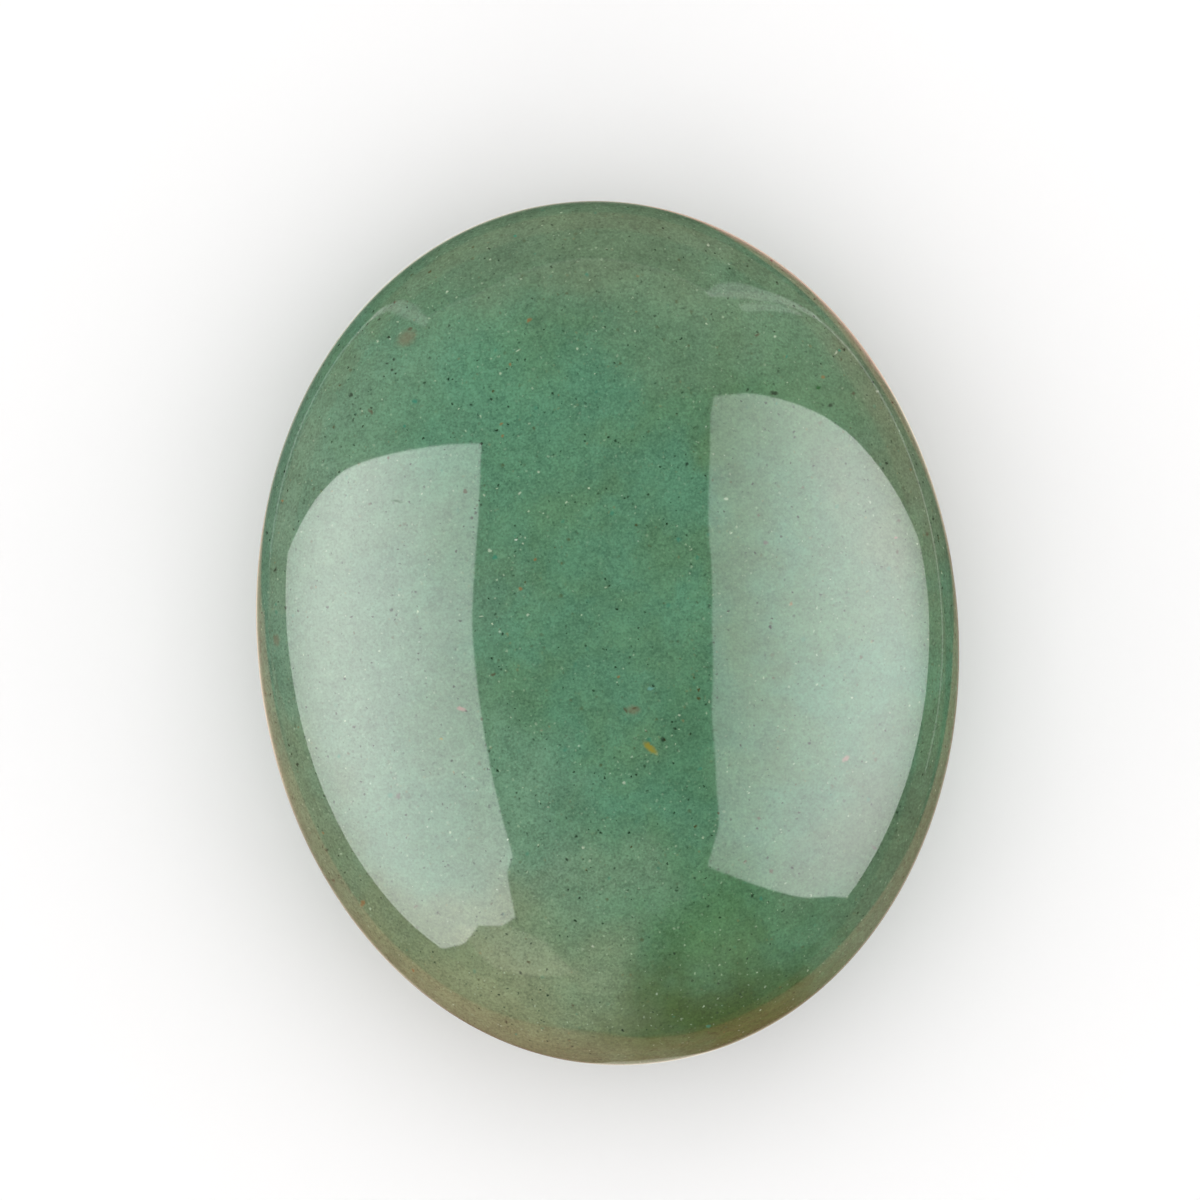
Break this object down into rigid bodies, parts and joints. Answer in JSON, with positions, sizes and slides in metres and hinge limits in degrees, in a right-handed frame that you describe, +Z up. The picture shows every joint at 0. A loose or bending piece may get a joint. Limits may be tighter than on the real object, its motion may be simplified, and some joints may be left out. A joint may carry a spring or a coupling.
{
  "type": "palm stone",
  "caption": "Oval palm stone of polished green aventurine, domed on both faces with a rounded edge, resting on a small flat spot underneath.",
  "frame": {"origin": "middle of the small flat resting spot under the lower dome, which is also the bottom centre of the stone's box", "axes": "+Z up, through the stone's thickness; +Y along its length; +X across its width"},
  "size_m": [0.0486, 0.06, 0.0192],
  "materials": {
    "stone": "polished"
  },
  "bodies": {
    "root": {"stone": "stone"}
  },
  "joints": []
}
